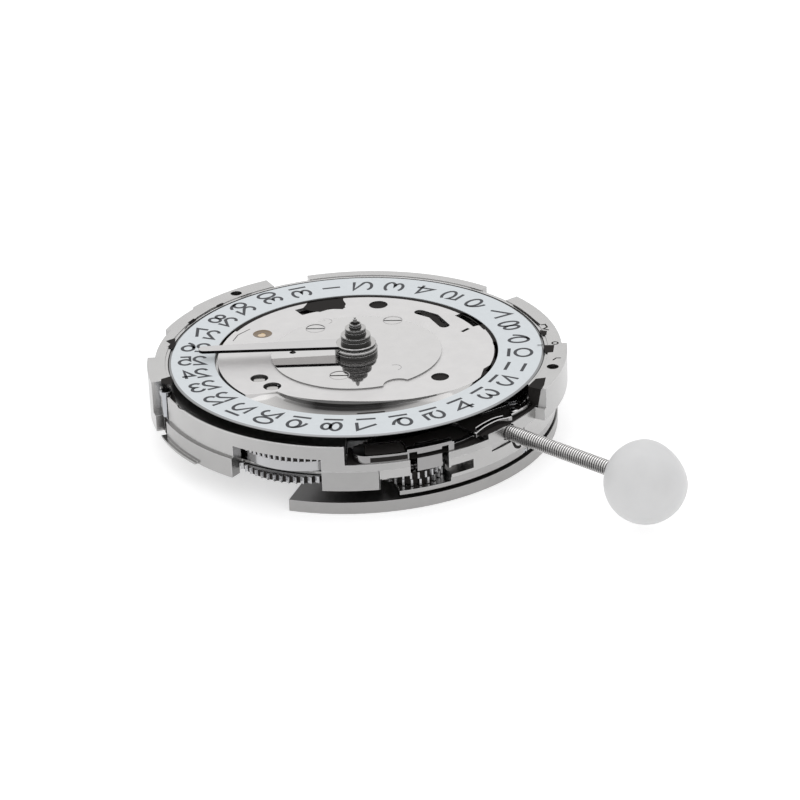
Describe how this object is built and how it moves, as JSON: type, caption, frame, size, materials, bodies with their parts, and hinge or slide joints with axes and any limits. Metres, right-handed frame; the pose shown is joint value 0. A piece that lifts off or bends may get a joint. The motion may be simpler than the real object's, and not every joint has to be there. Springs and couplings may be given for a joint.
{
  "type": "watch movement",
  "caption": "Automatic GMT watch movement, dial side up: date ring, polished calendar cover, stepped hand seats with a 24-hour hand, geared barrel, rotor, stem and setting knob.",
  "frame": {"origin": "the centre axis where it crosses the dial seat", "axes": "+Z out of the dial side along the hands' axis, +X outward along the winding stem"},
  "size_m": [0.0414, 0.0274, 0.0078],
  "materials": {
    "plate_steel": "satin nickel-plated brass",
    "polished_steel": "polished",
    "steel": "bright steel",
    "screw_steel": "polished steel",
    "gilt_brass": "gilt",
    "white_ring": "satin white",
    "white_plastic": "translucent white plastic",
    "ruby": "polished synthetic ruby",
    "violet": "anodised",
    "ceramic": "polished ceramic"
  },
  "bodies": {
    "movement": {"main_plate": "plate_steel", "calendar_cover": "polished_steel", "centre_cover": "polished_steel", "cover_screws": "polished_steel", "barrel_bridge": "plate_steel", "train_bridge": "plate_steel", "balance_cock": "plate_steel", "pallet_bridge": "plate_steel", "bridge_screws": "screw_steel", "plate_jewels": "ruby", "bridge_jewels": "ruby", "hairspring_stud": "steel", "lever_posts": "screw_steel", "lever_jumper": "polished_steel", "auto_bridge": "plate_steel", "bearing_inner": "steel", "rotor_screw": "screw_steel", "dial_foot_clamps": "screw_steel", "winding_screws": "screw_steel"},
    "date_ring": {"date_ring": "white_ring"},
    "date_wheel": {"date_wheel": "gilt_brass"},
    "date_jumper": {"date_jumper": "steel"},
    "minute_wheel": {"minute_wheel": "gilt_brass"},
    "setting_wheel": {"setting_wheel": "steel"},
    "minute_seat": {"cannon_pinion": "steel", "centre_arbor": "steel"},
    "hour_seat": {"hour_wheel": "steel"},
    "gmt_hand": {"gmt_wheel": "steel", "gmt_hand": "polished_steel"},
    "gmt_idler": {"gmt_idler": "gilt_brass"},
    "seconds_seat": {"seconds_pinion": "steel"},
    "barrel": {"barrel_drum": "steel", "barrel_lid": "steel", "mainspring": "screw_steel"},
    "ratchet": {"barrel_arbor": "steel", "ratchet_wheel": "steel"},
    "great_wheel": {"great_wheel": "gilt_brass"},
    "third_wheel": {"third_wheel": "gilt_brass"},
    "escape_wheel": {"escape_wheel": "steel"},
    "pallet_fork": {"pallet_fork": "steel", "pallet_stones": "ruby"},
    "balance": {"balance_wheel": "gilt_brass", "balance_staff": "steel", "hairspring": "screw_steel"},
    "winding_pinion": {"winding_pinion": "steel"},
    "stem": {"winding_stem": "steel", "setting_knob": "white_plastic"},
    "sliding_pinion": {"sliding_pinion": "steel"},
    "setting_lever": {"setting_lever": "steel"},
    "yoke": {"yoke": "steel"},
    "crown_wheel": {"crown_wheel": "steel"},
    "transfer_wheel": {"transfer_wheel": "steel"},
    "click": {"click": "steel"},
    "rotor": {"rotor_hub": "steel", "rotor_plate": "plate_steel", "rotor_weight": "plate_steel"},
    "bearing_balls": {"bearing_balls": "ceramic"},
    "reverser_1": {"reverser_wheel_1": "violet"},
    "reverser_2": {"reverser_wheel_2": "violet"},
    "reduction_wheel": {"reduction_wheel": "gilt_brass"}
  },
  "joints": [
    {"name": "minute_turn", "type": "hinge", "parent": "movement", "child": "minute_seat", "pos_m": [0, 0, 0], "axis": [0, 0, 1], "continuous": true},
    {"name": "hour_turn", "type": "hinge", "parent": "movement", "child": "hour_seat", "pos_m": [0, 0, 0], "axis": [0, 0, 1], "continuous": true},
    {"name": "gmt_turn", "type": "hinge", "parent": "movement", "child": "gmt_hand", "pos_m": [0, 0, 0], "axis": [0, 0, 1], "continuous": true},
    {"name": "gmt_idler_turn", "type": "hinge", "parent": "movement", "child": "gmt_idler", "pos_m": [-0.00339, -0.00174, -0.0005], "axis": [0, 0, 1], "continuous": true},
    {"name": "minute_wheel_turn", "type": "hinge", "parent": "movement", "child": "minute_wheel", "pos_m": [0.0014, 0.00242, -0.0007], "axis": [0, 0, 1], "continuous": true},
    {"name": "setting_wheel_turn", "type": "hinge", "parent": "movement", "child": "setting_wheel", "pos_m": [0.00441, 0.00133, -0.0007], "axis": [0, 0, 1], "continuous": true},
    {"name": "date_wheel_turn", "type": "hinge", "parent": "movement", "child": "date_wheel", "pos_m": [-0.0072, -0.00173, -0.0007], "axis": [0, 0, 1], "continuous": true},
    {"name": "third_turn", "type": "hinge", "parent": "movement", "child": "third_wheel", "pos_m": [-0.00258, -0.00077, -0.002], "axis": [0, 0, 1], "continuous": true},
    {"name": "seconds_turn", "type": "hinge", "parent": "movement", "child": "seconds_seat", "pos_m": [0, 0, 0], "axis": [0, 0, 1], "continuous": true},
    {"name": "great_turn", "type": "hinge", "parent": "movement", "child": "great_wheel", "pos_m": [-0.00112, -0.00342, -0.0013], "axis": [0, 0, 1], "continuous": true},
    {"name": "barrel_turn", "type": "hinge", "parent": "movement", "child": "barrel", "pos_m": [0.00277, -0.00761, -0.0017], "axis": [0, 0, 1], "continuous": true},
    {"name": "escape_turn", "type": "hinge", "parent": "movement", "child": "escape_wheel", "pos_m": [-0.00047, 0.00266, -0.0024], "axis": [0, 0, 1], "continuous": true},
    {"name": "date_ring_turn", "type": "hinge", "parent": "movement", "child": "date_ring", "pos_m": [0, 0, 0], "axis": [0, 0, 1], "continuous": true},
    {"name": "date_jumper_swing", "type": "hinge", "parent": "movement", "child": "date_jumper", "pos_m": [-0.00092, -0.00654, -0.0005], "axis": [0, 0, 1], "range_deg": [-3, 3]},
    {"name": "fork_swing", "type": "hinge", "parent": "movement", "child": "pallet_fork", "pos_m": [-0.00287, 0.00401, -0.0024], "axis": [0, 0, 1], "range_deg": [-5, 5]},
    {"name": "balance_swing", "type": "hinge", "parent": "movement", "child": "balance", "pos_m": [-0.00647, 0.00604, -0.0028], "axis": [0, 0, 1], "range_deg": [-250, 250]},
    {"name": "stem_turn", "type": "hinge", "parent": "movement", "child": "winding_pinion", "pos_m": [0, 0, -0.0019], "axis": [1, 0, 0], "continuous": true},
    {"name": "stem_pull", "type": "slide", "parent": "winding_pinion", "child": "stem", "axis": [1, 0, 0], "range_m": [0, 0.001]},
    {"name": "pinion_slide", "type": "slide", "parent": "winding_pinion", "child": "sliding_pinion", "axis": [1, 0, 0], "range_m": [-0.0009, 0]},
    {"name": "setting_lever_swing", "type": "hinge", "parent": "movement", "child": "setting_lever", "pos_m": [0.01165, 0.0023, -0.0012], "axis": [0, 0, 1], "range_deg": [0, 26]},
    {"name": "yoke_swing", "type": "hinge", "parent": "movement", "child": "yoke", "pos_m": [0.00685, 0.0037, -0.0012], "axis": [0, 0, 1], "range_deg": [-17, 0]},
    {"name": "crown_wheel_turn", "type": "hinge", "parent": "movement", "child": "crown_wheel", "pos_m": [0.0106, -0.00131, -0.0032], "axis": [0, 0, 1], "continuous": true},
    {"name": "transfer_turn", "type": "hinge", "parent": "movement", "child": "transfer_wheel", "pos_m": [0.00964, -0.0053, -0.0032], "axis": [0, 0, 1], "continuous": true},
    {"name": "ratchet_turn", "type": "hinge", "parent": "movement", "child": "ratchet", "pos_m": [0.00277, -0.00761, -0.0031], "axis": [0, 0, 1], "continuous": true},
    {"name": "click_swing", "type": "hinge", "parent": "movement", "child": "click", "pos_m": [-0.00291, -0.00968, -0.0031], "axis": [0, 0, 1], "range_deg": [-6, 0]},
    {"name": "rotor_turn", "type": "hinge", "parent": "movement", "child": "rotor", "pos_m": [0, 0, -0.0046], "axis": [0, 0, 1], "continuous": true},
    {"name": "bearing_balls_turn", "type": "hinge", "parent": "movement", "child": "bearing_balls", "pos_m": [0, 0, -0.0046], "axis": [0, 0, 1], "continuous": true},
    {"name": "reverser_1_turn", "type": "hinge", "parent": "movement", "child": "reverser_1", "pos_m": [0.00091, 0.00338, -0.0042], "axis": [0, 0, 1], "continuous": true},
    {"name": "reverser_2_turn", "type": "hinge", "parent": "movement", "child": "reverser_2", "pos_m": [-0.00201, 0.00287, -0.0042], "axis": [0, 0, 1], "continuous": true},
    {"name": "reduction_turn", "type": "hinge", "parent": "movement", "child": "reduction_wheel", "pos_m": [-0.00102, 0.00581, -0.0038], "axis": [0, 0, 1], "continuous": true}
  ],
  "couplings": [
    {"joint": "hour_turn", "follows": "minute_turn", "ratio": 0.083333},
    {"joint": "gmt_turn", "follows": "minute_turn", "ratio": 0.041667},
    {"joint": "gmt_idler_turn", "follows": "minute_turn", "ratio": -0.11905},
    {"joint": "minute_wheel_turn", "follows": "minute_turn", "ratio": -0.33333},
    {"joint": "setting_wheel_turn", "follows": "minute_turn", "ratio": 0.63636},
    {"joint": "date_wheel_turn", "follows": "minute_turn", "ratio": 0.041667},
    {"joint": "third_turn", "follows": "minute_turn", "ratio": -10},
    {"joint": "seconds_turn", "follows": "minute_turn", "ratio": 60},
    {"joint": "great_turn", "follows": "minute_turn", "ratio": 1.6667},
    {"joint": "barrel_turn", "follows": "minute_turn", "ratio": -0.2381},
    {"joint": "escape_turn", "follows": "minute_turn", "ratio": -400},
    {"joint": "pinion_slide", "follows": "stem_pull", "ratio": -0.8},
    {"joint": "setting_lever_swing", "follows": "stem_pull", "rad_per_m": 430},
    {"joint": "yoke_swing", "follows": "stem_pull", "rad_per_m": -271},
    {"joint": "crown_wheel_turn", "follows": "stem_turn", "ratio": -0.53846},
    {"joint": "transfer_turn", "follows": "stem_turn", "ratio": 0.53846},
    {"joint": "ratchet_turn", "follows": "stem_turn", "ratio": -0.21212},
    {"joint": "bearing_balls_turn", "follows": "rotor_turn", "ratio": 0.594},
    {"joint": "reverser_1_turn", "follows": "rotor_turn", "ratio": -1.9167},
    {"joint": "reverser_2_turn", "follows": "rotor_turn", "ratio": -1.9167},
    {"joint": "reduction_turn", "follows": "rotor_turn", "ratio": 0.66667}
  ]
}
